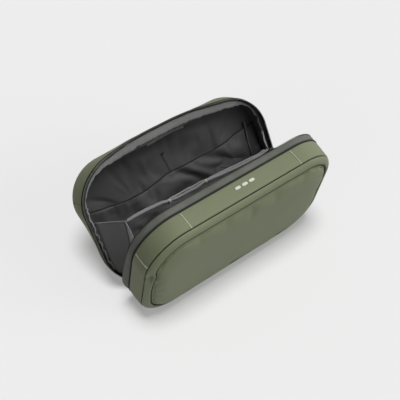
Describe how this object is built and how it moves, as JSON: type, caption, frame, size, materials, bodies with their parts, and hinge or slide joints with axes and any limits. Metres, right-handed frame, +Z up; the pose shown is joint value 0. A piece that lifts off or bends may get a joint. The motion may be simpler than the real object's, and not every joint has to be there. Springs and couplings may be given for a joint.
{
  "type": "cable organizer pouch",
  "caption": "Clamshell zip pouch for cables, standing open: padded front and back halves, a middle divider with elastic pockets, folding ends and a zip round three sides.",
  "frame": {"origin": "on the floor under the centre of the footprint box, the pouch standing open on the outer edges of its base", "axes": "+X along the fold line to the end with the zip slider, +Z up; the front half leans towards -Y and the back half towards +Y"},
  "size_m": [0.2338, 0.157, 0.135],
  "materials": {
    "shell_fabric": "matte coated weave, sage olive",
    "lining_fabric": "smooth nylon, charcoal",
    "edge_binding": "ribbed binding tape, light grey",
    "elastic": "woven elastic, light grey",
    "zip_tape": "woven tape, grey olive",
    "zip_coil": "nylon coil, black",
    "dark_trim": "seam cord, near black",
    "pale_thread": "thread, pale green grey",
    "pale_print": "printed, pale grey",
    "foam": "sealed padding",
    "label": "woven label, mid grey",
    "zip_metal": "satin black",
    "pull_tab": "matte black"
  },
  "bodies": {
    "back_half": {"back_base": "shell_fabric", "back_fold_edge_left": "edge_binding", "back_fold_edge_right": "edge_binding", "back_fold_left": "lining_fabric", "back_fold_right": "lining_fabric", "back_inner_label": "label", "back_keeper_tab": "lining_fabric", "back_lining": "lining_fabric", "back_panel": "shell_fabric", "back_rim_binding": "edge_binding", "back_seam_cord": "dark_trim", "back_side_binding_left": "edge_binding", "back_side_binding_right": "edge_binding", "back_slip_pocket": "lining_fabric", "back_slip_pocket_hem": "dark_trim", "back_stiffener": "foam", "back_wall_corner_left": "shell_fabric", "back_wall_corner_right": "shell_fabric", "back_wall_end_left": "shell_fabric", "back_wall_end_right": "shell_fabric", "back_wall_top": "shell_fabric", "back_zip_coil": "zip_coil", "back_zip_stops": "zip_coil", "back_zip_tape": "zip_tape", "fold_strip": "shell_fabric"},
    "front_half": {"front_base": "shell_fabric", "front_fold_edge_left": "edge_binding", "front_fold_edge_right": "edge_binding", "front_fold_left": "lining_fabric", "front_fold_right": "lining_fabric", "front_lining": "lining_fabric", "front_plain_mark": "pale_print", "front_pocket_border": "shell_fabric", "front_pocket_lining": "lining_fabric", "front_pocket_padding": "foam", "front_pocket_panel": "shell_fabric", "front_rim_binding": "edge_binding", "front_seam_cord": "dark_trim", "front_stiffener": "foam", "front_stitch_bars": "pale_thread", "front_wall_corner_left": "shell_fabric", "front_wall_corner_right": "shell_fabric", "front_wall_end_left": "shell_fabric", "front_wall_end_right": "shell_fabric", "front_wall_top": "shell_fabric", "front_zip_coil": "zip_coil", "front_zip_stops": "zip_coil", "front_zip_tape": "zip_tape"},
    "divider": {"divider_edge_left": "lining_fabric", "divider_edge_right": "lining_fabric", "divider_elastic": "elastic", "divider_panel": "lining_fabric", "divider_pocket": "lining_fabric", "divider_pocket_hem": "elastic", "divider_tacks": "pale_thread"},
    "zip_slider": {"slider_body": "zip_metal", "slider_lug": "zip_metal"},
    "zip_pull": {"pull_loop": "zip_metal", "pull_tab": "pull_tab"}
  },
  "joints": [
    {"name": "pouch_open", "type": "hinge", "parent": "back_half", "child": "front_half", "pos_m": [-0.00185, -0.01514, 0.0066], "axis": [1, 0, 0], "range_deg": [-42.2, 12], "deforming": ["front_fold_left", "front_fold_right", "front_fold_edge_left", "front_fold_edge_right", "fold_strip"]},
    {"name": "divider_swing", "type": "hinge", "parent": "back_half", "child": "divider", "pos_m": [-0.00185, -0.01514, 0.0066], "axis": [1, 0, 0], "range_deg": [-18.6, 5.4], "deforming": ["back_fold_left", "back_fold_right", "back_fold_edge_left", "back_fold_edge_right"]},
    {"name": "zip_slide", "type": "slide", "parent": "front_half", "child": "zip_slider", "axis": [0, -0.2198, 0.9755], "range_m": [0, 0.04]},
    {"name": "pull_swing", "type": "hinge", "parent": "zip_slider", "child": "zip_pull", "pos_m": [0.11565, -0.02569, 0.05342], "axis": [0, -0.9755, -0.2198], "range_deg": [-3, 170]}
  ],
  "couplings": [
    {"joint": "divider_swing", "follows": "pouch_open", "ratio": 0.438}
  ]
}
